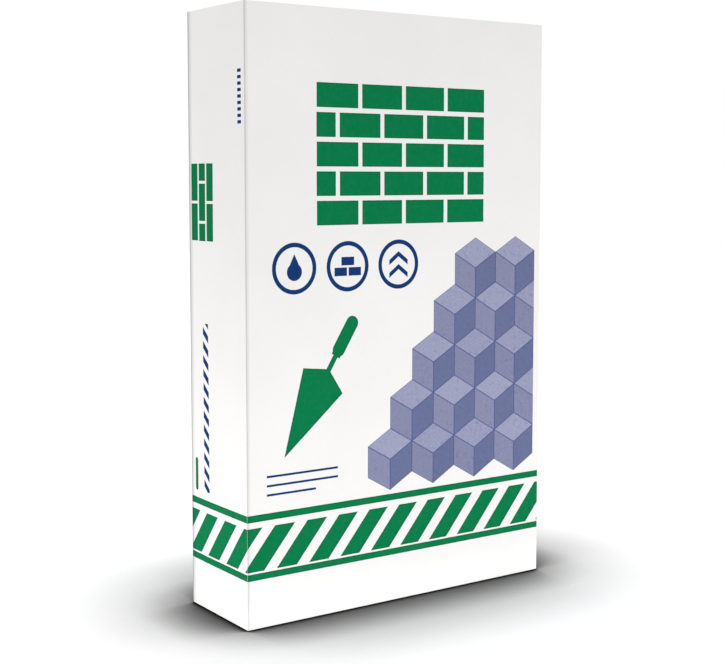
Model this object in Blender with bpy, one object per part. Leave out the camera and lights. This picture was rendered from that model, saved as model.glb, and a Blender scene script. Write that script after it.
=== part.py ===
"""A block-bottom valve sack filled with cement, standing on its folded bottom end.

Metres, +Z up. The origin is in the middle of the base. The printed front looks towards -Y, the
tube's glued seam runs up the back, and the filling valve opens at the top of the +X side.
"""

import math

import bmesh
import bpy

# The filled sack, measured over everything
SACK_WIDTH = 0.370
SACK_DEPTH = 0.113
SACK_HEIGHT = 0.600

# Paper thicknesses
TUBE_PAPER = 0.0003
PATCH_PAPER = 0.0003
SLEEVE_PAPER = 0.0002

# Folds of the tube: its four long creases, and the edges where it turns in over each end
CREASE_RADIUS = 0.0020
END_EDGE_RADIUS = 0.0015
ARC_STEPS = 4

# The glued seam up the back
SEAM_WIDTH = 0.025

# Folded ends: two long flaps lie over each other, above a triangular tuck at either side
FLAP_LAYERS = 2
FLAP_ROOT = 0.002

# Cover patches, set back from the sides and from the front and back
PATCH_END_MARGIN = 0.006
PATCH_SIDE_MARGIN = 0.007

# The filling valve, a flat sleeve that lies between the flaps and the tuck
VALVE_SIDE_MARGIN = 0.013
VALVE_LENGTH = 0.110
SLEEVE_SLIT = 0.0004
SLEEVE_RECESS = 0.0008

# The gap left between pieces that touch
CLEARANCE = 0.0003

# How far a cutter runs past the face that it opens
CUT_OVERLAP = 0.002

# Levels, from the floor up
SACK_BOTTOM = PATCH_PAPER + CLEARANCE
SACK_TOP = SACK_HEIGHT - PATCH_PAPER - CLEARANCE
FLAPS = FLAP_LAYERS * TUBE_PAPER
CAVITY_FLOOR = SACK_BOTTOM + FLAPS + TUBE_PAPER
VALVE_ROOF = SACK_TOP - FLAPS
VALVE_FLOOR = VALVE_ROOF - 2 * CLEARANCE - 2 * SLEEVE_PAPER - SLEEVE_SLIT
CAVITY_ROOF = VALVE_FLOOR - TUBE_PAPER

# Places worked out from the sizes above
HALF_WIDTH = SACK_WIDTH / 2
HALF_DEPTH = SACK_DEPTH / 2
BACK_PANEL = HALF_DEPTH - TUBE_PAPER
VALVE_HALF_WIDTH = HALF_DEPTH - VALVE_SIDE_MARGIN
TUCK_LENGTH = HALF_DEPTH


def clear_scene():
    """Take away whatever the file opened with."""
    for thing in list(bpy.data.objects):
        bpy.data.objects.remove(thing, do_unlink=True)


def make_material(name, colour, roughness):
    """A plain Principled material."""
    material = bpy.data.materials.new(name)
    material.use_nodes = True
    shader = material.node_tree.nodes["Principled BSDF"]
    shader.inputs["Base Color"].default_value = (*colour, 1.0)
    shader.inputs["Roughness"].default_value = roughness
    shader.inputs["Metallic"].default_value = 0.0
    return material


def add_object(name, mesh_builder, location=(0.0, 0.0, 0.0), material=None, parent=None):
    """Put a bmesh into the scene as a named object."""
    mesh = bpy.data.meshes.new(name)
    bmesh.ops.recalc_face_normals(mesh_builder, faces=mesh_builder.faces)
    mesh_builder.to_mesh(mesh)
    mesh_builder.free()
    thing = bpy.data.objects.new(name, mesh)
    thing.location = location
    thing.parent = parent
    if material is not None:
        mesh.materials.append(material)
    bpy.context.scene.collection.objects.link(thing)
    return thing


def make_cutter(cutter):
    """Mark an object as a cutter, which is drawn as wire and never rendered."""
    cutter.display_type = "WIRE"
    cutter.hide_render = True
    return cutter


def cut(target, cutter):
    """Subtract a cutter from an object with a Boolean modifier."""
    modifier = target.modifiers.new(cutter.name, "BOOLEAN")
    modifier.operation = "DIFFERENCE"
    modifier.solver = "EXACT"
    modifier.object = make_cutter(cutter)


def block(size):
    """A bmesh box of the given size about its own centre."""
    mesh_builder = bmesh.new()
    bmesh.ops.create_cube(mesh_builder, size=1.0)
    bmesh.ops.scale(mesh_builder, vec=size, verts=mesh_builder.verts)
    return mesh_builder


def loft(rings):
    """A closed bmesh through rings of (height, points), each with as many points as the next."""
    mesh_builder = bmesh.new()
    loops = []
    for height, points in rings:
        loops.append([mesh_builder.verts.new((x, y, height)) for x, y in points])
    for lower, upper in zip(loops, loops[1:]):
        for index in range(len(lower)):
            following = (index + 1) % len(lower)
            mesh_builder.faces.new(
                (lower[index], lower[following], upper[following], upper[index])
            )
    mesh_builder.faces.new(loops[0])
    mesh_builder.faces.new(loops[-1])
    return mesh_builder


def corner(centre_x, centre_y, radius, start_degrees):
    """A quarter circle of points, anticlockwise from the start angle."""
    points = []
    for step in range(ARC_STEPS + 1):
        angle = math.radians(start_degrees + 90 * step / ARC_STEPS)
        points.append((centre_x + radius * math.cos(angle), centre_y + radius * math.sin(angle)))
    return points


def tube_outline(inset, radius, with_seam=False):
    """The tube's cross-section, drawn in from its outer face by an inset."""
    side = HALF_WIDTH - inset
    front = -HALF_DEPTH + inset
    back = BACK_PANEL - inset
    points = corner(-side + radius, front + radius, radius, 180)
    points += corner(side - radius, front + radius, radius, 270)
    points += corner(side - radius, back - radius, radius, 0)
    if with_seam:
        seam_face = back + TUBE_PAPER
        points += [
            (SEAM_WIDTH / 2, back),
            (SEAM_WIDTH / 2, seam_face),
            (-SEAM_WIDTH / 2, seam_face),
            (-SEAM_WIDTH / 2, back),
        ]
    points += corner(-side + radius, back - radius, radius, 90)
    return points


def edge_inset(depth):
    """How far the rounded end edge draws the walls in, at a depth from the end's face."""
    if depth >= END_EDGE_RADIUS:
        return 0.0
    return END_EDGE_RADIUS - math.sqrt(END_EDGE_RADIUS**2 - (END_EDGE_RADIUS - depth) ** 2)


def sack_body():
    """The outside of the closed sack: the seamed tube with a rounded edge at either end."""
    lower, upper = [], []
    for step in range(ARC_STEPS + 1):
        angle = math.radians(90 * step / ARC_STEPS)
        depth = END_EDGE_RADIUS * (1 - math.cos(angle))
        outline = tube_outline(END_EDGE_RADIUS * (1 - math.sin(angle)), CREASE_RADIUS, True)
        lower.append((SACK_BOTTOM + depth, outline))
        upper.append((SACK_TOP - depth, outline))
    return loft(lower + upper[::-1])


def inner_block(gap):
    """What fills the tube between the end folds, with a gap to them all round."""
    radius = CREASE_RADIUS - TUBE_PAPER - gap
    walls = TUBE_PAPER + gap
    floor_inset = walls + edge_inset(CAVITY_FLOOR - SACK_BOTTOM)
    roof_inset = walls + edge_inset(SACK_TOP - CAVITY_ROOF)
    floor = CAVITY_FLOOR + gap
    roof = CAVITY_ROOF - gap
    return loft(
        [
            (floor, tube_outline(floor_inset, radius)),
            (floor + END_EDGE_RADIUS, tube_outline(walls, radius)),
            (roof - END_EDGE_RADIUS, tube_outline(walls, radius)),
            (roof, tube_outline(roof_inset, radius)),
        ]
    )


def between_tucks():
    """The plan of the head space: everything but the triangular tuck at either side."""
    side = HALF_WIDTH - FLAP_ROOT
    front = -HALF_DEPTH + FLAP_ROOT
    back = BACK_PANEL - FLAP_ROOT
    tuck_tip = HALF_WIDTH - TUCK_LENGTH
    return [
        (-side, front),
        (side, front),
        (tuck_tip, 0.0),
        (side, back),
        (-side, back),
        (-tuck_tip, 0.0),
    ]


def make_paper_sack(material, parent):
    """The tube with its folded ends, hollow inside and open only at the valve."""
    sack = add_object("paper_sack", sack_body(), material=material, parent=parent)

    cut(sack, add_object("cavity_cutter", inner_block(0.0), parent=parent))

    head = loft([(CAVITY_ROOF - CUT_OVERLAP, between_tucks()), (VALVE_ROOF, between_tucks())])
    cut(sack, add_object("head_space_cutter", head, parent=parent))

    # The tuck away from the valve is glued straight under the flaps
    tuck_underside = VALVE_ROOF - TUBE_PAPER
    relief_floor = CAVITY_ROOF - 2 * CUT_OVERLAP
    relief = block(
        (TUCK_LENGTH, 2 * (BACK_PANEL - 2 * FLAP_ROOT), tuck_underside - relief_floor)
    )
    relief_place = (
        -HALF_WIDTH + 2 * FLAP_ROOT + TUCK_LENGTH / 2,
        0.0,
        (tuck_underside + relief_floor) / 2,
    )
    cut(sack, add_object("glued_tuck_cutter", relief, relief_place, parent=parent))

    # The valve's channel runs from its mouth in the side to the sleeve's inner end
    channel_start = HALF_WIDTH - VALVE_LENGTH - CLEARANCE
    channel_end = HALF_WIDTH + CUT_OVERLAP
    channel = block(
        (channel_end - channel_start, 2 * VALVE_HALF_WIDTH, VALVE_ROOF - VALVE_FLOOR)
    )
    channel_place = ((channel_start + channel_end) / 2, 0.0, (VALVE_ROOF + VALVE_FLOOR) / 2)
    cut(sack, add_object("valve_channel_cutter", channel, channel_place, parent=parent))
    return sack


def make_cement_fill(material, parent):
    """The packed powder, up to just under the valve's tuck."""
    return add_object("cement_fill", inner_block(CLEARANCE), material=material, parent=parent)


def make_end_patch(name, centre_height, material, parent):
    """A cover sheet glued over a folded end."""
    size = (
        SACK_WIDTH - 2 * PATCH_END_MARGIN,
        SACK_DEPTH - 2 * PATCH_SIDE_MARGIN,
        PATCH_PAPER,
    )
    return add_object(name, block(size), (0.0, 0.0, centre_height), material, parent)


def make_valve_sleeve(material, parent):
    """A flattened paper tube, open from end to end, in the valve's channel."""
    length = VALVE_LENGTH - SLEEVE_RECESS
    width = 2 * (VALVE_HALF_WIDTH - CLEARANCE)
    thickness = 2 * SLEEVE_PAPER + SLEEVE_SLIT
    place = (
        HALF_WIDTH - SLEEVE_RECESS - length / 2,
        0.0,
        (VALVE_ROOF + VALVE_FLOOR) / 2,
    )
    sleeve = add_object(
        "valve_sleeve", block((length, width, thickness)), place, material, parent
    )
    slit = block((2 * length, width - 2 * SLEEVE_PAPER, SLEEVE_SLIT))
    cut(sleeve, add_object("sleeve_slit_cutter", slit, place, parent=parent))
    return sleeve


def main():
    """Build the whole sack."""
    clear_scene()
    white_kraft = make_material("white_kraft", (0.84, 0.83, 0.82), 0.72)
    patch_kraft = make_material("patch_kraft", (0.80, 0.79, 0.77), 0.76)
    brown_kraft = make_material("brown_kraft", (0.42, 0.29, 0.18), 0.80)
    cement = make_material("cement_powder", (0.36, 0.36, 0.35), 0.95)

    cement_bag = bpy.data.objects.new("cement_bag", None)
    bpy.context.scene.collection.objects.link(cement_bag)

    make_paper_sack(white_kraft, cement_bag)
    make_cement_fill(cement, cement_bag)
    make_end_patch("bottom_end_patch", PATCH_PAPER / 2, patch_kraft, cement_bag)
    make_end_patch("top_end_patch", SACK_HEIGHT - PATCH_PAPER / 2, patch_kraft, cement_bag)
    make_valve_sleeve(brown_kraft, cement_bag)


main()
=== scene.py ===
import math
from collections import namedtuple

import bpy
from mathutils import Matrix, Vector, noise


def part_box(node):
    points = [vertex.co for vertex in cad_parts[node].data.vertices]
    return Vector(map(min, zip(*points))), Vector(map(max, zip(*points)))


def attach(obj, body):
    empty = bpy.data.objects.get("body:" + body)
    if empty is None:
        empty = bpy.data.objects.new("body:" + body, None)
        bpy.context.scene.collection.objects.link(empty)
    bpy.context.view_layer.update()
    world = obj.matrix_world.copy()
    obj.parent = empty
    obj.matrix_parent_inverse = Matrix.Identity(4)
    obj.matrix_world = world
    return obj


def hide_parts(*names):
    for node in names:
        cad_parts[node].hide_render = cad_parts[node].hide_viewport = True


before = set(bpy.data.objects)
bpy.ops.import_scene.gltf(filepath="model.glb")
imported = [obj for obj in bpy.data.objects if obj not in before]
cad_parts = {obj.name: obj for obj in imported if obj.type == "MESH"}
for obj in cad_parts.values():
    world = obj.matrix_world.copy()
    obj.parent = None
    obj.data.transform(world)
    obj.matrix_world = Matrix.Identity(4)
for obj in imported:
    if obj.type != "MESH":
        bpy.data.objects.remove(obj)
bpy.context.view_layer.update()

# The sack stands on its bottom end with its printed front towards -Y. Lengths are in metres,
# and the print's own lengths are in millimetres.
SACK_LOW, SACK_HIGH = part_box("paper_sack")
SLEEVE_LOW, SLEEVE_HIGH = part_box("valve_sleeve")

MM = 0.001
PER_METRE = 1000.0
PAPER = 0.3 * MM
SEAM_WIDTH = 25 * MM

HALF_WIDTH = SACK_HIGH.x
FRONT = SACK_LOW.y
BACK = SACK_HIGH.y - PAPER
BOTTOM = SACK_LOW.z
TOP = SACK_HIGH.z

# Folds of the paper
CREASE_RADIUS = 0.8 * MM
TIGHTEST_FOLD = 0.3 * MM
CREASE_STEPS = 5
END_RADIUS = 0.5 * MM
END_STEPS = 5
END_INSETS = (1.5 * MM, 2.5 * MM, 4.5 * MM, 7.0 * MM, 9.5 * MM, 12.0 * MM)
TUCK_DROP = 0.35 * MM
TUCK_SLOPE = 1.5 * MM

# The wall's grid, and how far its panels stray from flat
GRID = 5 * MM
CREASE_SUPPORT = 0.5 * MM
CROWN = 0.7 * MM
RIPPLE = 0.22 * MM
RIPPLE_LENGTH = 75 * MM
RIPPLE_STRETCH = 0.7
RIPPLE_APART = 3.7
FADE = 35 * MM
SEAM_CUT = 0.15 * MM
SEAM_SLOPE = 3 * MM

# The valve's mouth
MOUTH_GAP = 0.3 * MM
MOUTH_FLOOR = SLEEVE_LOW.z - MOUTH_GAP
MOUTH_ROOF = SLEEVE_HIGH.z + MOUTH_GAP
MOUTH_HALF_WIDTH = SLEEVE_HIGH.y + MOUTH_GAP
MOUTH_END = SLEEVE_LOW.x - MOUTH_GAP

# Where each part of the skin lies on the map that its finish is baked to
BAKE_WALL = (0.004, 0.855)
BAKE_MOUTH = (0.862, 0.874)
BAKE_CAPS = (0.882, 0.996)
BAKE_MARGIN = 0.004
BAKE_BOTTOM = (BAKE_MARGIN, 0.49)
BAKE_TOP = (0.51, 1 - BAKE_MARGIN)
BAKE_MOUTH_WALLS = (0.01, 0.90)
BAKE_MOUTH_END = (0.92, 0.99)

# The print's widths on a side and on the front, in mm; together they repeat once round the tube
SIDE_WIDTH = 113.0
FACE_WIDTH = 370.0
PRINT_PERIOD = SIDE_WIDTH + FACE_WIDTH
TUBE_PRINT = 2 * PRINT_PERIOD * MM

# A place on the print's map that carries no ink and no fold
NO_PRINT = (0.30, -1.0)

# The tube's walls, in the order that its print runs: left, front, right, back
LEFT = 0
RIGHT = 2
REAR = 3

Panel = namedtuple("Panel", "start along out length printed_from printed_to")
Column = namedtuple("Column", "panel share turn printed")
Ring = namedtuple("Ring", "height inset path part")


def smooth(value):
    """0 below 0, 1 above 1, and an even S between."""
    value = min(max(value, 0.0), 1.0)
    return value * value * (3 - 2 * value)


def subdivide(stops, spacing):
    """Even steps of at most a spacing between each stop and the next, stops included."""
    places = [stops[0]]
    for low, high in zip(stops, stops[1:]):
        count = max(1, math.ceil((high - low) / spacing - 1e-6))
        for step in range(1, count + 1):
            places.append(low + (high - low) * step / count)
    return places


def make_panels():
    """The tube's four walls, each with the stretch of the print that it carries."""
    corners = [
        Vector((-HALF_WIDTH, BACK)),
        Vector((-HALF_WIDTH, FRONT)),
        Vector((HALF_WIDTH, FRONT)),
        Vector((HALF_WIDTH, BACK)),
    ]
    printed = 0.0
    panels = []
    for index, start in enumerate(corners):
        end = corners[(index + 1) % len(corners)]
        along = (end - start).normalized()
        out = Vector((along.y, -along.x))
        printed_width = (SIDE_WIDTH if index in (LEFT, RIGHT) else FACE_WIDTH) * MM
        panels.append(
            Panel(start, along, out, (end - start).length, printed, printed + printed_width)
        )
        printed += printed_width
    return panels


PANELS = make_panels()


def panel_stops(index):
    """Distances along a panel's flat where a column must stand."""
    panel = PANELS[index]
    first = CREASE_RADIUS
    last = panel.length - CREASE_RADIUS
    stops = [first, first + CREASE_SUPPORT, last - CREASE_SUPPORT, last]
    if index == RIGHT:
        middle = -FRONT
        stops += [middle - MOUTH_HALF_WIDTH, middle + MOUTH_HALF_WIDTH]
    if index == REAR:
        middle = panel.length / 2
        cut_edge = middle - SEAM_WIDTH / 2
        slope_end = middle + SEAM_WIDTH / 2
        stops += [cut_edge - SEAM_CUT, cut_edge, slope_end, slope_end + SEAM_SLOPE]
    return sorted(stops)


def make_columns():
    """The wall's upright lines, all round the tube."""
    columns = []
    for index, panel in enumerate(PANELS):
        flat = panel.length - 2 * CREASE_RADIUS
        printed_width = panel.printed_to - panel.printed_from
        for place in subdivide(panel_stops(index), GRID):
            printed = panel.printed_from + printed_width * place / panel.length
            columns.append(Column(index, (place - CREASE_RADIUS) / flat, 0.0, printed))
        for step in range(1, CREASE_STEPS):
            turn = step / CREASE_STEPS
            printed = panel.printed_to + (2 * turn - 1) * CREASE_RADIUS
            columns.append(Column(index, 1.0, turn, printed % TUBE_PRINT))
    return columns


def end_profile(extra_depth=None):
    """The wall's rounded edge into an end, as (depth below the end's face, inset) pairs."""
    angles = [math.pi / 2 * step / END_STEPS for step in range(END_STEPS + 1)]
    if extra_depth is not None:
        angles.append(math.asin(1 - extra_depth / END_RADIUS))
    profile = []
    for angle in sorted(angles):
        depth = END_RADIUS * (1 - math.sin(angle))
        profile.append((depth, END_RADIUS * (1 - math.cos(angle))))
    return profile


def make_rings():
    """The skin's level lines, from the middle of the bottom end up to the middle of the top."""
    rings = [(BOTTOM, inset, "bottom") for inset in reversed(END_INSETS)]
    rings += [(BOTTOM + depth, inset, "wall") for depth, inset in reversed(end_profile())]
    stops = [
        BOTTOM + END_RADIUS,
        BOTTOM + END_RADIUS + CREASE_SUPPORT,
        MOUTH_FLOOR - CREASE_SUPPORT,
        MOUTH_FLOOR,
        TOP - END_RADIUS,
    ]
    rings += [(height, 0.0, "wall") for height in subdivide(stops, GRID)[1:-1]]
    rings += [(TOP - depth, inset, "wall") for depth, inset in end_profile(TOP - MOUTH_ROOF)]
    rings += [(TOP, inset, "top") for inset in END_INSETS]

    path = 0.0
    made = []
    before = rings[0]
    for height, inset, part in rings:
        if part == "wall" and before[2] == "wall":
            path += math.hypot(height - before[0], inset - before[1])
        made.append(Ring(height, inset, path, part))
        before = (height, inset, part)
    return made


def seam_relief(place, panel):
    """The outer edge of the tube's sheet ends in a cut, and the inner one shows as a slope."""
    middle = panel.length / 2
    cut_edge = middle - SEAM_WIDTH / 2
    if place < cut_edge - SEAM_CUT / 2:
        return 0.0
    return PAPER * (1 - smooth((place - middle - SEAM_WIDTH / 2) / SEAM_SLOPE))


def wall_relief(column, height):
    """How far the filled sack presses its wall out, with slow ripples, at a place."""
    panel = PANELS[column.panel]
    if column.turn > 0:
        return 0.0
    flat = panel.length - 2 * CREASE_RADIUS
    place = CREASE_RADIUS + column.share * flat
    level = (height - BOTTOM) / (TOP - BOTTOM)
    from_crease = min(column.share, 1 - column.share) * flat
    from_end = min(height - BOTTOM, TOP - height)
    fade = smooth(from_crease / FADE) * smooth(from_end / FADE)
    crown = CROWN * 4 * column.share * (1 - column.share) * 4 * level * (1 - level)
    apart = RIPPLE_APART * column.panel
    where = Vector((column.printed, height * RIPPLE_STRETCH, apart)) / RIPPLE_LENGTH
    relief = crown + RIPPLE * fade * noise.noise(where)
    if column.panel == REAR:
        relief += seam_relief(place, panel) * smooth((from_end - END_RADIUS) / END_RADIUS)
    return relief


def tuck_share(column):
    """1 on the tucked short ends, 0 on the long flaps, and between the two at a corner."""
    on_tuck = column.panel in (LEFT, RIGHT)
    if column.turn == 0:
        return 1.0 if on_tuck else 0.0
    return 1 - smooth(column.turn) if on_tuck else smooth(column.turn)


def end_relief(column, ring):
    """How far an end's face lies in, where its tuck is a paper lower than the flaps."""
    if ring.part == "wall":
        return 0.0
    out = smooth((ring.inset - END_RADIUS) / TUCK_SLOPE)
    back = 1 - smooth((ring.inset - END_INSETS[-2]) / (END_INSETS[-1] - END_INSETS[-2]))
    drop = TUCK_DROP * tuck_share(column) * out * back
    return -drop if ring.part == "top" else drop


def skin_point(column, ring):
    """Where a column crosses a ring."""
    panel = PANELS[column.panel]
    radius = max(CREASE_RADIUS - ring.inset, TIGHTEST_FOLD)
    flat = panel.length - 2 * (ring.inset + radius)
    along = ring.inset + radius + column.share * flat
    place = panel.start + panel.along * along - panel.out * (ring.inset + radius)
    angle = math.pi / 2 * column.turn
    out = panel.out * math.cos(angle) + panel.along * math.sin(angle)
    relief = wall_relief(column, ring.height) if ring.part == "wall" else 0.0
    place = place + out * (radius + relief)
    return Vector((place.x, place.y, ring.height + end_relief(column, ring)))


def bake_share(value, low, high, band):
    """A place between two limits, as a share of a band of the bake map."""
    return band[0] + (band[1] - band[0]) * (value - low) / (high - low)


def wall_maps(printed, ring, path_length):
    """The print's place and the bake map's place of a point of the wall."""
    across = bake_share(printed, 0.0, TUBE_PRINT, (BAKE_MARGIN, 1 - BAKE_MARGIN))
    return (printed, ring.height), (across, bake_share(ring.path, 0.0, path_length, BAKE_WALL))


def cap_maps(point, part):
    """The same for a point of an end, which carries no print."""
    band = BAKE_BOTTOM if part == "bottom" else BAKE_TOP
    across = bake_share(point.x, -HALF_WIDTH, HALF_WIDTH, band)
    return NO_PRINT, (across, bake_share(point.y, FRONT, BACK, BAKE_CAPS))


def in_mouth(column, following, ring, upper):
    """Whether the face between two columns and two rings is open for the valve."""
    if column.panel != RIGHT or following.panel != RIGHT:
        return False
    if column.turn > 0 or following.turn > 0 or ring.part != "wall" or upper.part != "wall":
        return False
    panel = PANELS[RIGHT]
    flat = panel.length - 2 * CREASE_RADIUS
    middle = CREASE_RADIUS + (column.share + following.share) / 2 * flat + FRONT
    height = (ring.height + upper.height) / 2
    return abs(middle) < MOUTH_HALF_WIDTH and MOUTH_FLOOR < height < MOUTH_ROOF


class MeshDraft:
    """A mesh in the making, with its print map and its bake map."""

    def __init__(self):
        self.points = []
        self.faces = []
        self.prints = []
        self.bakes = []

    def add_point(self, point):
        self.points.append(point)
        return len(self.points) - 1

    def add_face(self, corners, maps):
        self.faces.append(corners)
        self.prints += [pair[0] for pair in maps]
        self.bakes += [pair[1] for pair in maps]

    def finish(self, name):
        mesh = bpy.data.meshes.new(name)
        mesh.from_pydata(self.points, [], self.faces)
        for map_name, places in (("Print", self.prints), ("OFBake", self.bakes)):
            layer = mesh.uv_layers.new(name=map_name)
            layer.data.foreach_set("uv", [value for place in places for value in place])
        mesh.validate()
        mesh.update()
        return mesh


def add_end_face(draft, corners, part):
    """The middle of an end, under its patch."""
    order = corners[::-1] if part == "bottom" else corners
    draft.add_face(order, [cap_maps(draft.points[corner], part) for corner in order])


def add_mouth_walls(draft, edge):
    """The valve's channel, run straight in from the mouth's edge."""
    inner = [draft.add_point(Vector((MOUTH_END, *draft.points[corner][1:]))) for corner in edge]
    steps = []
    travelled = 0.0
    for corner, following in zip(edge, edge[1:] + edge[:1]):
        steps.append(travelled)
        travelled += (draft.points[following] - draft.points[corner]).length
    steps.append(travelled)
    for index, corner in enumerate(edge):
        following = (index + 1) % len(edge)
        left = bake_share(steps[index], 0.0, travelled, BAKE_MOUTH_WALLS)
        right = bake_share(steps[index + 1], 0.0, travelled, BAKE_MOUTH_WALLS)
        maps = [
            (NO_PRINT, (left, BAKE_MOUTH[0])),
            (NO_PRINT, (right, BAKE_MOUTH[0])),
            (NO_PRINT, (right, BAKE_MOUTH[1])),
            (NO_PRINT, (left, BAKE_MOUTH[1])),
        ]
        draft.add_face([corner, edge[following], inner[following], inner[index]], maps)
    end_maps = []
    for corner in inner:
        point = draft.points[corner]
        across = bake_share(point.y, -MOUTH_HALF_WIDTH, MOUTH_HALF_WIDTH, BAKE_MOUTH_END)
        up = bake_share(point.z, MOUTH_FLOOR, MOUTH_ROOF, BAKE_MOUTH)
        end_maps.append((NO_PRINT, (across, up)))
    draft.add_face(inner, end_maps)


def mouth_edge(mouth_columns, mouth_rings, corner_index):
    """The corners round the mouth, in the order that its open faces ran."""
    first_ring, last_ring = mouth_rings[0], mouth_rings[-1]
    first_column, last_column = mouth_columns[0], mouth_columns[-1]
    edge = [(first_ring, column) for column in mouth_columns]
    edge += [(ring, last_column) for ring in mouth_rings[1:]]
    edge += [(last_ring, column) for column in reversed(mouth_columns[:-1])]
    edge += [(ring, first_column) for ring in reversed(mouth_rings[1:-1])]
    return [corner_index(ring, column) for ring, column in edge]


def skin_mesh():
    """The whole outside of the sack: the creased tube, its folded ends and the valve's channel."""
    columns = make_columns()
    rings = make_rings()
    path_length = rings[-1].path
    draft = MeshDraft()
    for ring in rings:
        for column in columns:
            draft.add_point(skin_point(column, ring))

    def corner_index(ring_index, column_index):
        return ring_index * len(columns) + column_index % len(columns)

    mouth_columns = set()
    mouth_rings = set()
    for ring_index in range(len(rings) - 1):
        ring, upper = rings[ring_index], rings[ring_index + 1]
        part = ring.part if ring.part != "wall" else upper.part
        for column_index, column in enumerate(columns):
            following = columns[(column_index + 1) % len(columns)]
            if in_mouth(column, following, ring, upper):
                mouth_columns |= {column_index, column_index + 1}
                mouth_rings |= {ring_index, ring_index + 1}
                continue
            corners = [
                corner_index(ring_index, column_index),
                corner_index(ring_index, column_index + 1),
                corner_index(ring_index + 1, column_index + 1),
                corner_index(ring_index + 1, column_index),
            ]
            if part == "wall":
                left = column.printed
                right = following.printed
                if right < left:
                    right += TUBE_PRINT
                maps = [
                    wall_maps(left, ring, path_length),
                    wall_maps(right, ring, path_length),
                    wall_maps(right, upper, path_length),
                    wall_maps(left, upper, path_length),
                ]
            else:
                maps = [cap_maps(draft.points[corner], part) for corner in corners]
            draft.add_face(corners, maps)

    last_ring = len(rings) - 1
    add_end_face(draft, [corner_index(0, index) for index in range(len(columns))], "bottom")
    add_end_face(draft, [corner_index(last_ring, index) for index in range(len(columns))], "top")
    edge = mouth_edge(sorted(mouth_columns), sorted(mouth_rings), corner_index)
    add_mouth_walls(draft, edge)
    return draft.finish("sack_skin")


# The cover patches, and what of the folds below shows through them
PATCH_GRID = 4 * MM
FLAP_OVERLAP = 30 * MM
FOLD_SOFTNESS = 2.5 * MM
SHOWN_THROUGH = 0.20 * MM
PUCKER = 0.05 * MM
PUCKER_LENGTH = 16 * MM

SHARP_ANGLE = math.radians(50)


def patch_relief(x, y):
    """The height of the folds under a patch: two flaps that overlap, and a tuck at each side."""
    from_tuck = HALF_WIDTH - abs(x) + abs(y) - (BACK - FRONT) / 2
    on_flaps = smooth(from_tuck / FOLD_SOFTNESS + 0.5)
    in_overlap = smooth((FLAP_OVERLAP / 2 - abs(y)) / FOLD_SOFTNESS + 0.5)
    pucker = PUCKER * noise.noise(Vector((x, y, 0.3)) / PUCKER_LENGTH)
    return SHOWN_THROUGH * (on_flaps - 1 + in_overlap * on_flaps) + pucker


def patch_mesh(name, low, high, upward):
    """A cover sheet of even thickness that follows the folds below it."""
    across = subdivide([low.x, low.x + PATCH_GRID, high.x - PATCH_GRID, high.x], PATCH_GRID)
    deep = subdivide([low.y, low.y + PATCH_GRID, high.y - PATCH_GRID, high.y], PATCH_GRID)
    points = []
    for level in (low.z, high.z):
        for y in deep:
            for x in across:
                relief = patch_relief(x, y)
                lift = relief if upward else max(SHOWN_THROUGH - relief, 0.0)
                points.append((x, y, level + lift))
    width = len(across)
    layer = width * len(deep)
    faces = []
    for row in range(len(deep) - 1):
        for column in range(width - 1):
            corner = row * width + column
            lower = [corner, corner + width, corner + width + 1, corner + 1]
            faces.append(lower)
            faces.append([layer + index for index in reversed(lower)])
    rim = list(range(width))
    rim += [row * width + width - 1 for row in range(1, len(deep))]
    rim += [layer - 1 - index for index in range(1, width)]
    rim += [row * width for row in range(len(deep) - 2, 0, -1)]
    for corner, following in zip(rim, rim[1:] + rim[:1]):
        faces.append([corner, following, following + layer, corner + layer])
    mesh = bpy.data.meshes.new(name)
    mesh.from_pydata(points, [], faces)
    mesh.validate()
    return mesh


def add_piece(name, mesh, material, slot_name, *nodes):
    """A piece of the sack that stands in for CAD nodes."""
    mesh.shade_smooth()
    mesh.set_sharp_from_angle(angle=SHARP_ANGLE)
    mesh.materials.append(material)
    piece = bpy.data.objects.new(name, mesh)
    bpy.context.scene.collection.objects.link(piece)
    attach(piece, "root")
    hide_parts(*nodes)
    return piece


class Field:
    """A number that varies over a surface: a shader node's output that can be reckoned with."""

    def __init__(self, socket):
        self.socket = socket

    def __add__(self, other):
        return reckon("ADD", self, other)

    def __sub__(self, other):
        return reckon("SUBTRACT", self, other)

    def __rsub__(self, other):
        return reckon("SUBTRACT", other, self)

    def __mul__(self, other):
        return reckon("MULTIPLY", self, other)

    def __truediv__(self, other):
        return reckon("DIVIDE", self, other)

    def __neg__(self):
        return reckon("MULTIPLY", self, -1.0)

    def __abs__(self):
        return reckon("ABSOLUTE", self)


def reckon(operation, *values):
    """One Math node over fields and plain numbers."""
    tree = next(value.socket.id_data for value in values if isinstance(value, Field))
    node = tree.nodes.new("ShaderNodeMath")
    node.operation = operation
    for socket, value in zip(node.inputs, values):
        join(value, socket)
    return Field(node.outputs[0])


def join(value, socket):
    """Feed a socket with a field or a plain number."""
    if isinstance(value, Field):
        socket.id_data.links.new(value.socket, socket)
    else:
        socket.default_value = value


def smallest(first, *others):
    for other in others:
        first = reckon("MINIMUM", first, other)
    return first


def largest(first, *others):
    for other in others:
        first = reckon("MAXIMUM", first, other)
    return first


def wrapped(value, period):
    """A place within a period that repeats, from 0 up to the period."""
    return reckon("WRAP", value, period, 0.0)


def spread(value, low, high, from_value=0.0, to_value=1.0):
    """A field taken from one range to another and held inside it."""
    tree = value.socket.id_data
    node = tree.nodes.new("ShaderNodeMapRange")
    node.clamp = True
    for name, number in (
        ("Value", value),
        ("From Min", low),
        ("From Max", high),
        ("To Min", from_value),
        ("To Max", to_value),
    ):
        join(number, node.inputs[name])
    return Field(node.outputs["Result"])


def inked(distance):
    """1 inside an outline and 0 outside, with a soft edge, from the distance to it in mm."""
    return spread(distance, INK_EDGE, -INK_EDGE)


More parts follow.
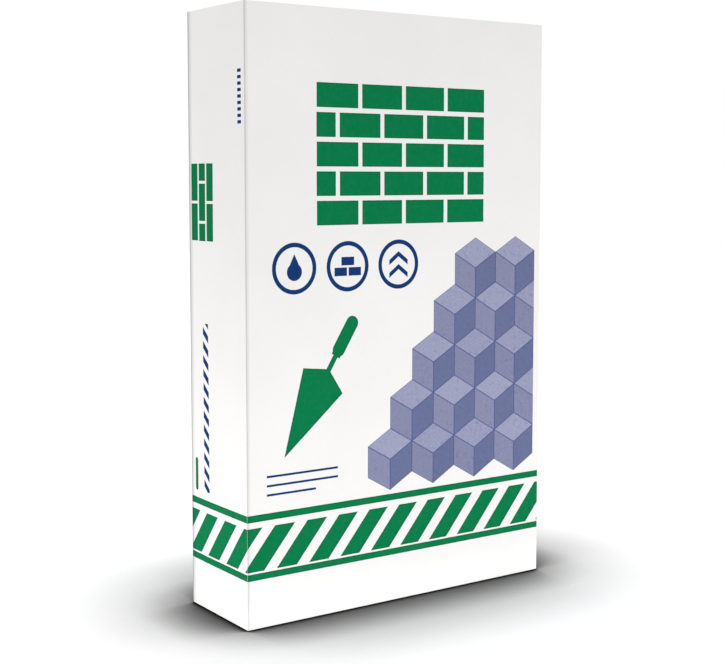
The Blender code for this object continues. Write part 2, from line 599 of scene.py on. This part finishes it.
def box_distance(x, y, centre, half_size):
    """How far outside an upright rectangle a place lies, below 0 inside it."""
    return largest(abs(x - centre[0]) - half_size[0], abs(y - centre[1]) - half_size[1])


def disc_distance(x, y, centre, radius):
    """How far outside a disc a place lies, below 0 inside it."""
    across = x - centre[0]
    up = y - centre[1]
    return reckon("SQRT", across * across + up * up) - radius


def bar_distance(along, across, start, end, radius):
    """How far outside a straight bar with round ends, lying along an axis, a place lies."""
    past = along - largest(smallest(along, end), start)
    return reckon("SQRT", past * past + across * across) - radius


# The print, in mm. A place is given across a face from its left edge, and up from the floor,
# unless its comment says otherwise. First, how soft the ink's edge is and how far it spreads
INK_EDGE = 0.12
INK_SPREAD = 0.22

# The middle height and half height of the band's two lines
BAND_LINES = ((109.1, 3.2), (51.8, 3.1))

# The band's stripes: how high they start and end, how far they lean on the way, their width along
# the band, how many go with one repeat of the print, and where one starts along the band's top
STRIPE_FOOT = 57.2
STRIPE_TOP = 99.5
STRIPE_LEAN = 35.1
STRIPE_WIDTH = 22.3
STRIPE_COUNT = 13
STRIPE_START = 107.0

# The front's block of bond, and a side's, which is turned, so that its size is given upward first
BOND_LEFT = 80.0
BOND_FOOT = 389.0
BOND_SIZE = (209.0, 138.0)
BOND_COURSES = 5
BOND_BRICKS = 4
BOND_JOINT = 5.0

SIDE_BOND_LEFT = 6.0
SIDE_BOND_FOOT = 373.0
SIDE_BOND_SIZE = (76.0, 45.0)
SIDE_BOND_COURSES = 3
SIDE_BOND_BRICKS = 2
SIDE_BOND_JOINT = 3.0

BADGE_CENTRES = ((54.0, 348.0), (116.0, 348.0), (178.0, 348.0))
BADGE_RADIUS = 25.0
BADGE_RING = 4.4

# Where along the print the sheet's cut edge lies, and the bare margin beside it
SEAM_PLACE = 768.5
SEAM_MARGIN = 1.6

HEAP_EDGE = 32.0
HEAP_RIGHT = 362.0
HEAP_FOOT = 116.5
HEAP_ROWS = 5
HEAP_BASE = 4
HEAP_JOINT = 0.9

# Numbers that scatter the blocks' tones, and how much they vary
BLOCK_MARK = 1.7
SCATTER_STEP = 12.9
SCATTER_SCALE = 43.7
BLOCK_VARIATION = 0.10

TROWEL_CENTRE = (84.0, 232.0)
TROWEL_TILT = math.radians(32)

# The badges' signs, from each badge's centre: a drop, three little bricks and two chevrons
DROP_FALL = 3.5
DROP_RADIUS = 8.5
DROP_PEAK = 14.0
DROP_FLANK = (0.9, 0.44)
DROP_NECK = 1.0
LITTLE_COURSE = 5.2
LITTLE_UPPER_HALF = (7.6, 4.2)
LITTLE_LOWER_HALF = (7.4, 4.2)
LITTLE_LOWER_FROM_MIDDLE = 8.4
CHEVRON_SLOPE = 0.75
CHEVRON_MIDDLE = 4.0
CHEVRON_FROM_MIDDLE = 6.5
CHEVRON_HALF_RISE = 2.6
CHEVRON_UPRIGHT = 0.8
CHEVRON_HALF_WIDTH = 11.5

# The trowel's blade: its point and its heel's corners along it, its half width, how far the heel
# rises to its middle, and how far its outline is then moved out
BLADE_TIP = -74.0
BLADE_HEEL = 4.0
BLADE_HALF = 25.0
HEEL_RISE = 12.0
BLADE_GROWTH = 1.5

# Start, end and radius of its tang and its handle, and its ferrule's middle and half size
TANG = (12.0, 36.0, 2.6)
HANDLE = (40.0, 70.0, 7.0)
FERRULE_CENTRE = (35.0, 0.0)
FERRULE_HALF = (2.2, 5.2)

# Each rule's middle across and up, and its half length
RULES = ((63.0, 148.0, 41.0), (63.0, 139.0, 41.0), (50.0, 130.0, 28.0))
RULE_HALF_HEIGHT = 1.1

# The marks on a side: a short bar, with its start, its end and its radius, a ladder of leaning
# rungs, and ticks, which repeat from a start that need not lie inside their outline
SIDE_BAR_ACROSS = 12.0
SIDE_BAR = (122.5, 150.5, 2.6)
LADDER_CENTRE = (33.5, 206.0)
LADDER_HALF = (5.5, 85.0)
LADDER_START = 121.0
LADDER_FIRST = 4.5
LADDER_PITCH = 14.0
LADDER_RUNG_HALF = 3.6
LADDER_LEAN = 0.8
TICKS_CENTRE = (103.5, 511.5)
TICKS_HALF = (3.4, 26.5)
TICKS_START = 485.0
TICK_FIRST = 2.5
TICK_PITCH = 6.0
TICK_HALF = 1.6


def band_distance(printed, height):
    """The hazard band: leaning stripes between two lines, which wrap all round the sack."""
    distance = None
    for centre, half in BAND_LINES:
        line = abs(height - centre) - half
        distance = line if distance is None else smallest(distance, line)
    pitch = PRINT_PERIOD / STRIPE_COUNT
    rise = STRIPE_TOP - STRIPE_FOOT
    upright = rise / math.hypot(rise, STRIPE_LEAN)
    at_top = printed - (height - STRIPE_TOP) * (STRIPE_LEAN / rise)
    middle = STRIPE_START + STRIPE_WIDTH / 2
    from_middle = wrapped(at_top - (middle - pitch / 2), pitch) - pitch / 2
    stripe = (abs(from_middle) - STRIPE_WIDTH / 2) * upright
    between = abs(height - (STRIPE_TOP + STRIPE_FOOT) / 2) - rise / 2
    return smallest(distance, largest(stripe, between))


def bond_distance(x, y, size, courses, bricks, joint):
    """A rectangle of running bond, with its lower left corner at the origin."""
    width, height = size
    course = (height + joint) / courses
    length = (width + joint) / bricks
    row = reckon("FLOOR", y / course)
    odd = reckon("FLOORED_MODULO", row, 2.0)
    up = wrapped(y, course) - (course - joint) / 2
    along = wrapped(x + odd * (length / 2), length) - (length - joint) / 2
    brick = largest(abs(up) - (course - joint) / 2, abs(along) - (length - joint) / 2)
    return largest(brick, box_distance(x, y, (width / 2, height / 2), (width / 2, height / 2)))


def trowel_distance(x, y):
    """A pointed trowel seen flat: blade, tang and handle in one line."""
    across = x - TROWEL_CENTRE[0]
    up = y - TROWEL_CENTRE[1]
    cosine, sine = math.cos(TROWEL_TILT), math.sin(TROWEL_TILT)
    along = across * sine + up * cosine
    beside = abs(across * cosine - up * sine)
    slope = math.atan2(BLADE_HALF, BLADE_HEEL - BLADE_TIP)
    flank = beside * math.cos(slope) - (along - BLADE_TIP) * math.sin(slope)
    heel_slope = math.atan2(HEEL_RISE, BLADE_HALF)
    heel = (along - BLADE_HEEL - HEEL_RISE) * math.cos(heel_slope)
    heel = heel + beside * math.sin(heel_slope)
    blade = largest(flank, heel) - BLADE_GROWTH
    tang = bar_distance(along, beside, *TANG)
    handle = bar_distance(along, beside, *HANDLE)
    ferrule = box_distance(along, beside, FERRULE_CENTRE, FERRULE_HALF)
    return smallest(blade, tang, handle, ferrule)


def green_distance(printed, across, height):
    """Everything that is printed in green."""
    distance = band_distance(printed, height)
    bond = bond_distance(
        across - BOND_LEFT, height - BOND_FOOT, BOND_SIZE, BOND_COURSES, BOND_BRICKS, BOND_JOINT
    )
    distance = smallest(distance, bond)
    distance = smallest(distance, trowel_distance(across, height))
    side = across + SIDE_WIDTH
    side_bond = bond_distance(
        height - SIDE_BOND_FOOT,
        side - SIDE_BOND_LEFT,
        SIDE_BOND_SIZE,
        SIDE_BOND_COURSES,
        SIDE_BOND_BRICKS,
        SIDE_BOND_JOINT,
    )
    distance = smallest(distance, side_bond)
    return smallest(distance, bar_distance(height, side - SIDE_BAR_ACROSS, *SIDE_BAR))


def drop_distance(x, y, centre):
    """A drop of water."""
    round_part = disc_distance(x, y, (centre[0], centre[1] - DROP_FALL), DROP_RADIUS)
    beside = abs(x - centre[0])
    point = beside * DROP_FLANK[0] + (y - centre[1] - DROP_PEAK) * DROP_FLANK[1]
    cone = largest(point, centre[1] - DROP_NECK - y)
    return smallest(round_part, cone)


def courses_distance(x, y, centre):
    """Three little bricks, one on two."""
    upper_centre = (centre[0], centre[1] + LITTLE_COURSE)
    lower_centre = (LITTLE_LOWER_FROM_MIDDLE, centre[1] - LITTLE_COURSE)
    upper = box_distance(x, y, upper_centre, LITTLE_UPPER_HALF)
    lower = box_distance(abs(x - centre[0]), y, lower_centre, LITTLE_LOWER_HALF)
    return smallest(upper, lower)


def chevrons_distance(x, y, centre):
    """Two chevrons, one over the other, that point up."""
    beside = abs(x - centre[0])
    rise = (y - centre[1]) + beside * CHEVRON_SLOPE
    repeated = abs(abs(rise - CHEVRON_MIDDLE) - CHEVRON_FROM_MIDDLE) - CHEVRON_HALF_RISE
    return largest(repeated * CHEVRON_UPRIGHT, beside - CHEVRON_HALF_WIDTH)


def navy_distance(across, height):
    """Everything that is printed in solid navy."""
    distance = None
    for centre in BADGE_CENTRES:
        ring = abs(disc_distance(across, height, centre, BADGE_RADIUS - BADGE_RING / 2))
        ring = ring - BADGE_RING / 2
        distance = ring if distance is None else smallest(distance, ring)
    distance = smallest(distance, drop_distance(across, height, BADGE_CENTRES[0]))
    distance = smallest(distance, courses_distance(across, height, BADGE_CENTRES[1]))
    distance = smallest(distance, chevrons_distance(across, height, BADGE_CENTRES[2]))
    for centre, level, half in RULES:
        rule = box_distance(across, height, (centre, level), (half, RULE_HALF_HEIGHT))
        distance = smallest(distance, rule)
    side = across + SIDE_WIDTH
    leaned = height - LADDER_START + (side - LADDER_CENTRE[0]) * LADDER_LEAN
    rungs = abs(wrapped(leaned, LADDER_PITCH) - LADDER_FIRST) - LADDER_RUNG_HALF
    ladder = largest(rungs, box_distance(side, height, LADDER_CENTRE, LADDER_HALF))
    distance = smallest(distance, ladder)
    ticks = abs(wrapped(height - TICKS_START, TICK_PITCH) - TICK_FIRST) - TICK_HALF
    ticks = largest(ticks, box_distance(side, height, TICKS_CENTRE, TICKS_HALF))
    return smallest(distance, ticks)


def heap_fields(across, height):
    """A heap of blocks drawn as tumbling blocks: (inside, joint, top face, left face, block)."""
    width = math.sqrt(3) * HEAP_EDGE
    rise = 1.5 * HEAP_EDGE
    x = across - (HEAP_RIGHT - width * (HEAP_BASE - 0.5))
    y = height - (HEAP_FOOT + HEAP_EDGE)
    even_x = x - reckon("ROUND", x / width) * width
    even_y = y - reckon("ROUND", y / (2 * rise)) * (2 * rise)
    odd_x = wrapped(x, width) - width / 2
    odd_y = wrapped(y, 2 * rise) - rise
    nearer = reckon("LESS_THAN", odd_x * odd_x + odd_y * odd_y, even_x * even_x + even_y * even_y)
    local_x = even_x + nearer * (odd_x - even_x)
    local_y = even_y + nearer * (odd_y - even_y)
    block_x = x - local_x
    block_y = y - local_y
    row = block_y / rise

    beside = abs(local_x)
    slanted = beside * 0.5 + abs(local_y) * (math.sqrt(3) / 2)
    from_edge = HEAP_EDGE * math.sqrt(3) / 2 - largest(beside, slanted)
    above = (local_y - beside / math.sqrt(3)) * (math.sqrt(3) / 2)
    joint = smallest(from_edge, abs(above), largest(beside, above)) - HEAP_JOINT / 2

    inside = reckon("GREATER_THAN", block_x - row * (width / 2), -1.0)
    inside = inside * reckon("GREATER_THAN", row, -0.5)
    inside = inside * reckon("LESS_THAN", row, HEAP_ROWS - 0.5)
    inside = inside * reckon("LESS_THAN", across, HEAP_RIGHT)
    return inside, inked(joint), inked(-above), inked(local_x), block_x + block_y * BLOCK_MARK


def linear(red, green, blue):
    """A colour given as it shows on a screen, from 0 to 255, as Blender mixes it."""
    parts = []
    for value in (red, green, blue):
        share = value / 255
        parts.append(share / 12.92 if share <= 0.04045 else ((share + 0.055) / 1.055) ** 2.4)
    return (*parts, 1.0)


def new_material(name, roughness, specular):
    """A node material with only its shader and output, which it gives back with its tree."""
    material = bpy.data.materials.new(name)
    material.use_nodes = True
    tree = material.node_tree
    tree.nodes.clear()
    output = tree.nodes.new("ShaderNodeOutputMaterial")
    shader = tree.nodes.new("ShaderNodeBsdfPrincipled")
    tree.links.new(shader.outputs["BSDF"], output.inputs["Surface"])
    shader.inputs["Roughness"].default_value = roughness
    shader.inputs["Specular IOR Level"].default_value = specular
    return material, tree, shader


def object_place(tree):
    """Places on the object, in metres."""
    return tree.nodes.new("ShaderNodeTexCoord").outputs["Object"]


def stretched(tree, place, scale):
    """Places scaled by an amount along each axis."""
    node = tree.nodes.new("ShaderNodeMapping")
    node.inputs["Scale"].default_value = scale
    tree.links.new(place, node.inputs["Vector"])
    return node.outputs["Vector"]


def noise_field(tree, place, scale, detail=2.0, roughness=0.5):
    """Cloudy noise around 0.5."""
    node = tree.nodes.new("ShaderNodeTexNoise")
    node.inputs["Scale"].default_value = scale
    node.inputs["Detail"].default_value = detail
    node.inputs["Roughness"].default_value = roughness
    tree.links.new(place, node.inputs["Vector"])
    return Field(node.outputs["Fac"])


def blend(tree, share, first, second, mode="MIX"):
    """Two colours mixed by a field or a plain share."""
    node = tree.nodes.new("ShaderNodeMix")
    node.data_type = "RGBA"
    node.blend_type = mode
    join(share, node.inputs["Factor"])
    for name, colour in (("A", first), ("B", second)):
        socket = next(s for s in node.inputs if s.name == name and s.type == "RGBA")
        if isinstance(colour, tuple):
            socket.default_value = colour
        else:
            tree.links.new(colour, socket)
    return next(s for s in node.outputs if s.type == "RGBA")


def add_bump(tree, shader, height, distance, strength=1.0):
    """Fine relief on a shader, from a height field."""
    node = tree.nodes.new("ShaderNodeBump")
    node.inputs["Strength"].default_value = strength
    node.inputs["Distance"].default_value = distance
    join(height, node.inputs["Height"])
    tree.links.new(node.outputs["Normal"], shader.inputs["Normal"])


def fibre_field(tree, place):
    """The felt of a kraft paper's fibres, finer along the sheet than across it."""
    long_fibres = noise_field(tree, stretched(tree, place, (1.0, 1.0, 0.35)), 900.0, 3.0)
    crossed = noise_field(tree, stretched(tree, place, (0.4, 0.4, 1.0)), 620.0, 2.0)
    return long_fibres * 0.6 + crossed * 0.4


WHITE_PAPER = linear(223, 222, 221)
CLOUDY_PAPER = linear(219, 218, 217)
PAPER_FIBRES = linear(203, 201, 197)
GREEN_INK = linear(8, 110, 66)
GREEN_RIM = linear(0, 84, 42)
NAVY_INK = linear(18, 50, 104)
SLATE_TOP = linear(152, 154, 178)
SLATE_LEFT = linear(131, 133, 158)
SLATE_RIGHT = linear(100, 107, 139)
SLATE_JOINT = linear(70, 79, 127)
PATCH_PAPER = linear(229, 227, 221)
CLOUDY_PATCH = linear(220, 217, 210)
PATCH_FIBRES = linear(196, 191, 180)
# The tint of the patches' painted shade along the folds under them
PATCH_SHADE_TINT = linear(186, 181, 170)
BROWN_PAPER = linear(172, 133, 92)
CLOUDY_BROWN = linear(154, 116, 78)
BROWN_FIBRES = linear(112, 80, 50)
CEMENT = linear(154, 154, 151)
CLOUDY_CEMENT = linear(138, 139, 137)
CEMENT_GRAIN = linear(118, 118, 116)

# The painted shade just past the folds where a broad face and a side begin, in mm and shares: the
# fold's place across the print, how much wider than a face's its shade is, and how deep its line
# and its soft part are
FOLDS = ((0.0, 1.0, 0.42, 0.25), (-SIDE_WIDTH, 2.0, 0.66, 0.42))
FOLD_LINE = 1.3
FOLD_SHADE = 4.6
# The tint that painted shade multiplies the paper by, at folds, seam and flap ends
PAINTED_SHADOW_TINT = linear(124, 122, 120)
END_FACE_DEPTH = 0.8


def heap_colour(tree, across, height, place):
    """The heap's colour and its coverage."""
    inside, joint, top_face, left_face, block = heap_fields(across, height)
    side_colour = blend(tree, left_face, SLATE_RIGHT, SLATE_LEFT)
    colour = blend(tree, top_face, side_colour, SLATE_TOP)
    grain = noise_field(tree, place, 420.0, 4.0, 0.7)
    pits = spread(noise_field(tree, place, 190.0, 3.0, 0.65), 0.56, 0.70)
    tone = spread(grain, 0.3, 0.7, 0.0, 0.30) + pits * 0.22
    scattered = reckon("FRACT", reckon("SINE", block * SCATTER_STEP) * SCATTER_SCALE)
    tone = tone + scattered * BLOCK_VARIATION
    colour = blend(tree, tone, colour, SLATE_JOINT)
    colour = blend(tree, joint, colour, SLATE_JOINT)
    return colour, inside


def painted_fold_shade(across):
    """Painted shade on the paper just right of each fold: a fine dark line and a soft shade beside
    it.
    """
    shade = None
    for fold, wide, dark, dim in FOLDS:
        beside = across - fold
        line = spread(abs(beside - 0.6 * wide), 0.3 * wide, FOLD_LINE * wide, dark, 0.0)
        soft = spread(beside, 0.0, 0.3) * spread(beside, 0.3, FOLD_SHADE * wide, dim, 0.0)
        both = largest(line, soft)
        shade = both if shade is None else largest(shade, both)
    return shade


def tuck_distance(x, y):
    """How far a place on an end lies from its tuck's slanted edge, in mm, above 0 on the flaps."""
    depth = (BACK - FRONT) / MM
    from_middle = abs(y - (BACK + FRONT) / 2 / MM)
    return HALF_WIDTH / MM - abs(x) + from_middle - depth / 2


def painted_flap_edge_shade(tree, place):
    """Painted shade where the long flaps' slanted ends lie over the tucks, seen round the end
    patches.
    """
    axes = tree.nodes.new("ShaderNodeSeparateXYZ")
    tree.links.new(place, axes.inputs["Vector"])
    x, y, z = (Field(axes.outputs[name]) * PER_METRE for name in "XYZ")
    slant = abs(tuck_distance(x, y))
    middle = (BOTTOM + TOP) / 2 / MM
    on_end = reckon("GREATER_THAN", abs(z - middle), (TOP - BOTTOM) / 2 / MM - END_FACE_DEPTH)
    return spread(slant, 0.2, 0.8, 0.34, 0.0) * on_end


def make_printed_paper():
    """White kraft paper with its green and navy print, and painted shade at its folds, seam and
    flaps.
    """
    material, tree, shader = new_material("printed_white_kraft", 0.62, 0.002)
    place = object_place(tree)
    print_map = tree.nodes.new("ShaderNodeUVMap")
    print_map.uv_map = "Print"
    axes = tree.nodes.new("ShaderNodeSeparateXYZ")
    tree.links.new(print_map.outputs["UV"], axes.inputs["Vector"])
    printed = Field(axes.outputs["X"]) * PER_METRE
    height = Field(axes.outputs["Y"]) * PER_METRE
    waver = (noise_field(tree, place, 500.0, 2.0) - 0.5) * 0.35
    across = wrapped(printed, PRINT_PERIOD) - SIDE_WIDTH

    fibres = fibre_field(tree, place)
    clouds = noise_field(tree, place, 9.0, 3.0)
    sheet = blend(tree, spread(clouds, 0.35, 0.75), WHITE_PAPER, CLOUDY_PAPER)
    sheet = blend(tree, spread(fibres, 0.35, 0.7, 0.0, 0.14), sheet, PAPER_FIBRES)

    green = green_distance(printed, across, height) - INK_SPREAD + waver
    navy = navy_distance(across, height) + waver
    heap, heap_inside = heap_colour(tree, across, height, place)

    # Ink is rubbed off along the four long creases
    from_crease = smallest(abs(across), abs(across + SIDE_WIDTH), abs(FACE_WIDTH - across))
    hold = spread(from_crease + waver, 0.1, 0.5, 0.55, 1.0)
    mottle = noise_field(tree, place, 240.0, 3.0, 0.6)
    margin = abs(printed - (SEAM_PLACE + SEAM_MARGIN / 2)) - SEAM_MARGIN / 2
    cover = spread(mottle, 0.25, 0.55, 0.992, 1.0) * hold * (1.0 - inked(margin + waver))

    green_cover = inked(green) * cover
    navy_cover = inked(navy) * cover
    heap_cover = heap_inside * cover
    green_edge = spread(green, -1.3, -0.6, 0.0, 0.8)
    green_colour = blend(tree, green_edge, GREEN_INK, GREEN_RIM)

    colour = blend(tree, heap_cover, sheet, heap)
    colour = blend(tree, navy_cover, colour, NAVY_INK)
    colour = blend(tree, green_cover, colour, green_colour)

    # Painted shade, multiplied into the colour: beside the folds, at the seam's cut edge and at
    # the flaps' ends
    shade = painted_fold_shade(across + waver)
    # A dark line at the sheet's cut edge: partly the raw edge's grey, partly painted shade of the
    # step
    shade = largest(shade, spread(abs(printed - SEAM_PLACE), 0.15, 0.55, 0.40, 0.0))
    shade = largest(shade, painted_flap_edge_shade(tree, place))
    colour = blend(tree, shade, colour, PAINTED_SHADOW_TINT, "MULTIPLY")
    tree.links.new(colour, shader.inputs["Base Color"])

    ink = largest(green_cover, navy_cover, heap_cover)
    join(spread(ink, 0.0, 1.0, 0.66, 0.48) + (fibres - 0.5) * 0.12, shader.inputs["Roughness"])
    add_bump(tree, shader, fibres * (1.0 - ink * 0.4), 0.06 * MM)
    return material


def painted_shade_over_folds(tree, place):
    """Painted shade in fine lines where the edges of the folds under a patch show through it."""
    axes = tree.nodes.new("ShaderNodeSeparateXYZ")
    tree.links.new(place, axes.inputs["Vector"])
    x, y = (Field(axes.outputs[name]) * PER_METRE for name in "XY")
    from_tuck = tuck_distance(x, y)
    waver = (noise_field(tree, place, 45.0, 2.0) - 0.5) * 1.2
    tuck_edge = spread(abs(from_tuck + waver), 0.3, 1.4, 0.50, 0.0)
    from_flap = abs(y) - FLAP_OVERLAP / 2 / MM
    flap_edge = spread(abs(from_flap + waver), 0.3, 1.4, 0.50, 0.0)
    return largest(tuck_edge, flap_edge * spread(from_tuck, 0.0, 1.0))


def make_patch_paper():
    """Plain white kraft paper, a little rougher and creamier than the tube's."""
    material, tree, shader = new_material("patch_kraft_paper", 0.70, 0.10)
    place = object_place(tree)
    turned = stretched(tree, place, (0.35, 1.0, 1.0))
    fibres = noise_field(tree, turned, 800.0, 4.0, 0.6)
    clouds = noise_field(tree, place, 14.0, 3.0)
    colour = blend(tree, spread(clouds, 0.3, 0.7), PATCH_PAPER, CLOUDY_PATCH)
    colour = blend(tree, spread(fibres, 0.35, 0.7, 0.0, 0.22), colour, PATCH_FIBRES)
    colour = blend(tree, painted_shade_over_folds(tree, place), colour, PATCH_SHADE_TINT)
    tree.links.new(colour, shader.inputs["Base Color"])
    join(spread(fibres, 0.3, 0.7, 0.62, 0.78), shader.inputs["Roughness"])
    add_bump(tree, shader, fibres, 0.08 * MM)
    return material


def make_brown_paper():
    """Unbleached kraft paper of the valve's sleeve."""
    material, tree, shader = new_material("brown_kraft_paper", 0.75, 0.12)
    place = object_place(tree)
    fibres = noise_field(tree, stretched(tree, place, (0.3, 1.0, 1.0)), 700.0, 5.0, 0.65)
    clouds = noise_field(tree, place, 30.0, 2.0)
    colour = blend(tree, spread(clouds, 0.3, 0.7), BROWN_PAPER, CLOUDY_BROWN)
    colour = blend(tree, spread(fibres, 0.35, 0.75, 0.0, 0.6), colour, BROWN_FIBRES)
    tree.links.new(colour, shader.inputs["Base Color"])
    join(spread(fibres, 0.3, 0.7, 0.68, 0.85), shader.inputs["Roughness"])
    add_bump(tree, shader, fibres, 0.10 * MM)
    return material


def make_cement_powder():
    """Packed grey powder with fine grain and a few soft lumps."""
    material, tree, shader = new_material("cement_powder", 0.95, 0.15)
    place = object_place(tree)
    grain = noise_field(tree, place, 1400.0, 4.0, 0.7)
    lumps = noise_field(tree, place, 60.0, 5.0, 0.6)
    colour = blend(tree, spread(lumps, 0.3, 0.7), CEMENT, CLOUDY_CEMENT)
    colour = blend(tree, spread(grain, 0.4, 0.7, 0.0, 0.5), colour, CEMENT_GRAIN)
    tree.links.new(colour, shader.inputs["Base Color"])
    join(spread(grain, 0.3, 0.7, 0.88, 1.0), shader.inputs["Roughness"])
    add_bump(tree, shader, grain * 0.4 + lumps * 0.6, 0.6 * MM)
    return material


def finish_node(name, material):
    """Give a CAD node that stays its finish."""
    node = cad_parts[name]
    if not node.material_slots:
        node.data.materials.append(material)
    for material_slot in node.material_slots:
        material_slot.material = material


FLOOR_SIZE = 12.0
# The floor lies a hair below the sack's foot, so that the two don't share a plane
FLOOR_LEVEL = -0.2 * MM
FLOOR_WHITE = (0.98, 0.98, 0.98, 1.0)
# The colour of the floor's painted shadow, deepest at the sack's foot
FLOOR_PAINTED_SHADOW = (0.002, 0.002, 0.002, 1.0)
# The floor's painted shadow: how far it looks for the sack, how strongly what it meets darkens
# it, and which way it looks
WIDE_SHADE = (0.177, 2.1, (-0.144, -0.202, 0.969))
NEAR_SHADE = (0.072, 2.45, (0.0, -0.112, 0.994))
# The painted shadow's dark line right at the sack's foot: how far it looks, and where it fades
CONTACT_REACH = 8 * MM
CONTACT_RANGE = (0.45, 0.95)
STRAIGHT_UP = (0.0, 0.0, 1.0)


def open_share(tree, reach, lean):
    """How much of the half sphere above a spot of floor, leaned a little, the sack leaves open."""
    occlusion = tree.nodes.new("ShaderNodeAmbientOcclusion")
    occlusion.samples = 16
    occlusion.inputs["Distance"].default_value = reach
    direction = tree.nodes.new("ShaderNodeCombineXYZ")
    for socket, value in zip(direction.inputs, lean):
        socket.default_value = value
    tree.links.new(direction.outputs["Vector"], occlusion.inputs["Normal"])
    return Field(occlusion.outputs["AO"])


def make_floor():
    """A white floor with a painted shadow that darkens it where the sack keeps the light from it.
    """
    material, tree, shader = new_material("studio_floor", 0.9, 0.0)
    open_sky = spread(open_share(tree, CONTACT_REACH, STRAIGHT_UP), *CONTACT_RANGE)
    for reach, depth, lean in (WIDE_SHADE, NEAR_SHADE):
        open_sky = open_sky * reckon("POWER", open_share(tree, reach, lean), depth)
    colour = blend(tree, open_sky, FLOOR_PAINTED_SHADOW, FLOOR_WHITE)
    tree.links.new(colour, shader.inputs["Base Color"])
    half = FLOOR_SIZE / 2
    mesh = bpy.data.meshes.new("floor")
    corners = [(-half, -half), (half, -half), (half, half), (-half, half)]
    mesh.from_pydata([(x, y, FLOOR_LEVEL) for x, y in corners], [], [(0, 1, 2, 3)])
    mesh.materials.append(material)
    floor = bpy.data.objects.new("floor", mesh)
    bpy.context.scene.collection.objects.link(floor)


def add_area_light(name, place, target, size, power):
    """A soft rectangular light that the camera doesn't see."""
    lamp = bpy.data.lights.new(name, "AREA")
    lamp.shape = "RECTANGLE"
    lamp.size, lamp.size_y = size
    lamp.energy = power
    light = bpy.data.objects.new(name, lamp)
    light.location = place
    light.rotation_euler = (Vector(target) - Vector(place)).to_track_quat("-Z", "Y").to_euler()
    light.visible_camera = False
    bpy.context.scene.collection.objects.link(light)
    return light


ROOM_LIGHT = 1.0
OVERHEAD_LIGHT = 0.45
OVERHEAD_SPREAD = math.radians(30)
STRIP_HEIGHT = 0.006
STRIP_WIDTH = 0.006
# How far each low strip stands out from its face, its length and its power
FACE_STRIPS = ((0.03, 1.2, 0.086), (0.07, 0.24, 0.012), (0.50, 1.2, 1.10))
SIDE_STRIPS = ((0.015, 1.2, 0.024), (0.33, 1.2, 1.15))
LOW_STRIPS = (
    ("front", (0, -1), -FRONT, FACE_STRIPS),
    ("left", (-1, 0), HALF_WIDTH, SIDE_STRIPS),
    ("back", (0, 1), SACK_HIGH.y, FACE_STRIPS),
    ("right", (1, 0), HALF_WIDTH, SIDE_STRIPS),
)


def make_light(pieces):
    """A white room, a lamp straight above, and low strips that lift the foot of each face."""
    world = bpy.data.worlds.new("white_room")
    world.use_nodes = True
    background = world.node_tree.nodes["Background"]
    background.inputs["Color"].default_value = (1.0, 1.0, 1.0, 1.0)
    background.inputs["Strength"].default_value = ROOM_LIGHT
    bpy.context.scene.world = world

    lamp = bpy.data.lights.new("overhead", "SUN")
    lamp.energy = OVERHEAD_LIGHT
    lamp.angle = OVERHEAD_SPREAD
    overhead = bpy.data.objects.new("overhead", lamp)
    bpy.context.scene.collection.objects.link(overhead)

    lit = bpy.data.collections.new("lit_by_strips")
    for piece in pieces:
        lit.objects.link(piece)
    for side, toward, face, strips in LOW_STRIPS:
        for index, (away, length, power) in enumerate(strips):
            out = face + away
            place = Vector((toward[0] * out, toward[1] * out, STRIP_HEIGHT))
            aim = Vector((0, 0, STRIP_HEIGHT))
            name = f"{side}_strip_{index}"
            light = add_area_light(name, place, aim, (length, STRIP_WIDTH), power)
            light.light_linking.receiver_collection = lit


CAMERA_PLACE = (-0.8223, -1.1707, 0.4345)
CAMERA_TILT = math.radians(85.230)
CAMERA_TURN = math.radians(-34.672)
CAMERA_LENS = 67.74
CAMERA_SENSOR = 36.0
CAMERA_RISE = -0.0550


def make_camera():
    """The photograph's view: from the left of the front, a little below the sack's top."""
    camera = bpy.data.cameras.new("camera")
    camera.lens = CAMERA_LENS
    camera.sensor_width = CAMERA_SENSOR
    camera.shift_y = CAMERA_RISE
    camera.clip_start = 0.05
    camera.clip_end = 50.0
    viewer = bpy.data.objects.new("camera", camera)
    viewer.location = CAMERA_PLACE
    viewer.rotation_euler = (CAMERA_TILT, 0.0, CAMERA_TURN)
    bpy.context.scene.collection.objects.link(viewer)
    bpy.context.scene.camera = viewer


def make_sack():
    """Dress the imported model."""
    skin = add_piece("sack_skin", skin_mesh(), make_printed_paper(), "white_kraft", "paper_sack")
    pieces = [skin]
    patch_paper = make_patch_paper()
    for end, upward in (("bottom", False), ("top", True)):
        node = end + "_end_patch"
        low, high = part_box(node)
        name = end + "_patch_sheet"
        mesh = patch_mesh(name, low, high, upward)
        pieces.append(add_piece(name, mesh, patch_paper, "patch_kraft", node))
    finish_node("valve_sleeve", make_brown_paper())
    finish_node("cement_fill", make_cement_powder())
    return pieces + [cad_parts["valve_sleeve"]]


make_camera()
sack_pieces = make_sack()
make_floor()
make_light(sack_pieces)
bpy.context.scene.view_settings.view_transform = "Standard"
